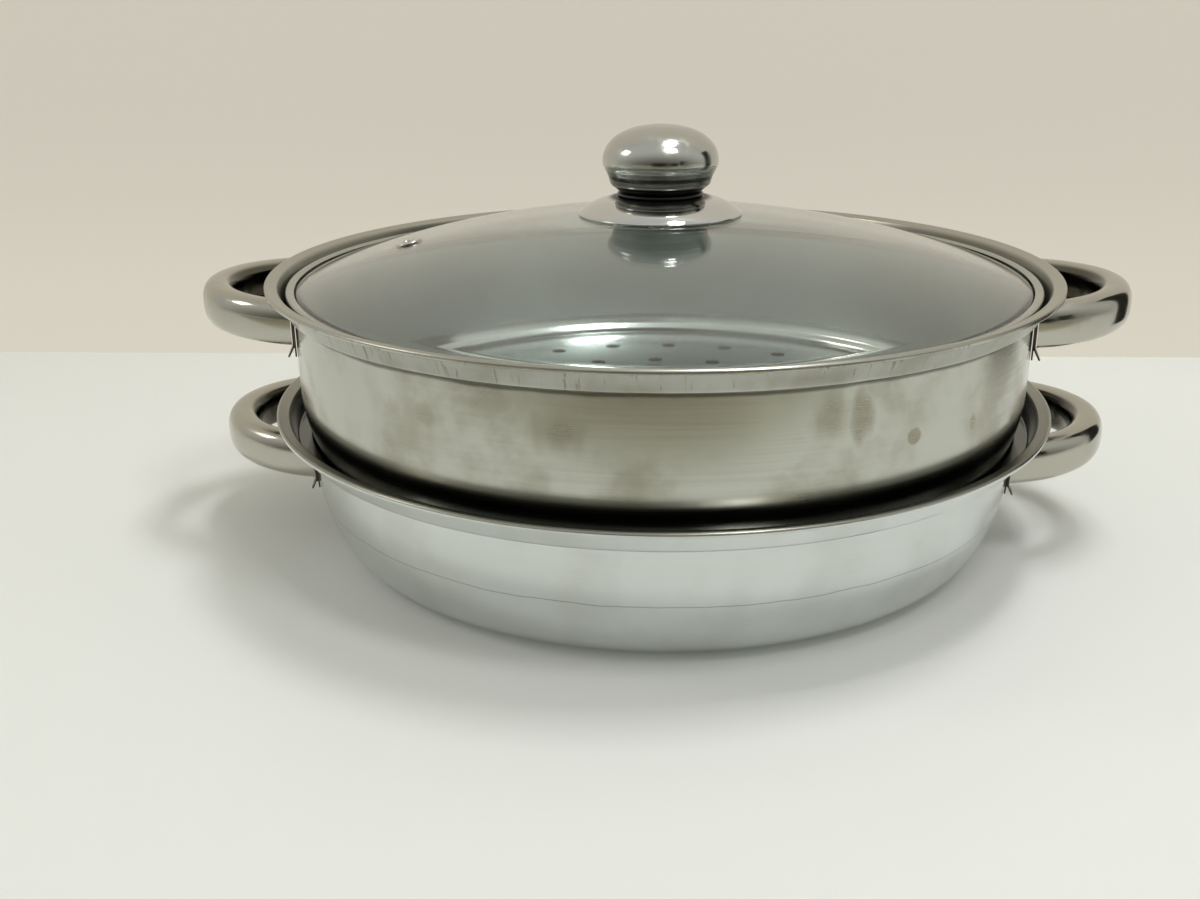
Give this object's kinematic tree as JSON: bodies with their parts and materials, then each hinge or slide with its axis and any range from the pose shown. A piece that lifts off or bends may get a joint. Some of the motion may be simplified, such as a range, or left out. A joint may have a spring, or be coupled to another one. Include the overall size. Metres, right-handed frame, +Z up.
{
  "type": "two-tier steamer pot",
  "caption": "stainless steel steamer pot: a rounded pot, a perforated steaming tier nested in its stepped rim, loop handles and a domed glass lid with a ball knob",
  "frame": {"origin": "on the surface the pot stands on, on the turning axis of the pot", "axes": "+Z up along the turning axis, +X through the two loop handles, +Y towards the back of the picture"},
  "size_m": [0.3768, 0.315, 0.1653],
  "materials": {
    "satin_steel": "fine spun satin stainless steel",
    "polished_steel": "bright polished stainless steel",
    "chrome": "mirror chrome",
    "tempered_glass": "clear tempered glass with a faint green tint",
    "black_phenolic": "moulded black phenolic",
    "silicone": "translucent silicone",
    "brass": "plain brass"
  },
  "bodies": {
    "pot": {"pot_body": "satin_steel", "pot_handle_left": "polished_steel", "pot_handle_right": "polished_steel", "pot_handle_plate_left_front": "polished_steel", "pot_handle_plate_left_back": "polished_steel", "pot_handle_plate_right_front": "polished_steel", "pot_handle_plate_right_back": "polished_steel"},
    "steamer": {"steamer_body": "satin_steel", "steamer_handle_left": "polished_steel", "steamer_handle_right": "polished_steel", "steamer_handle_plate_left_front": "polished_steel", "steamer_handle_plate_left_back": "polished_steel", "steamer_handle_plate_right_front": "polished_steel", "steamer_handle_plate_right_back": "polished_steel"},
    "lid": {"lid_glass": "tempered_glass", "lid_rim": "polished_steel", "vent_eyelet": "polished_steel", "knob_base_plate": "chrome", "knob_collar": "black_phenolic", "knob_lower_shell": "satin_steel", "knob_cap": "satin_steel", "knob_insert": "brass", "knob_screw": "polished_steel", "screw_washer": "polished_steel", "glass_gasket": "silicone"}
  },
  "joints": [
    {"name": "steamer_lift", "type": "slide", "parent": "pot", "child": "steamer", "axis": [0, 0, 1], "range_m": [0, 0.1]},
    {"name": "lid_lift", "type": "slide", "parent": "steamer", "child": "lid", "axis": [0, 0, 1], "range_m": [0, 0.1]}
  ]
}
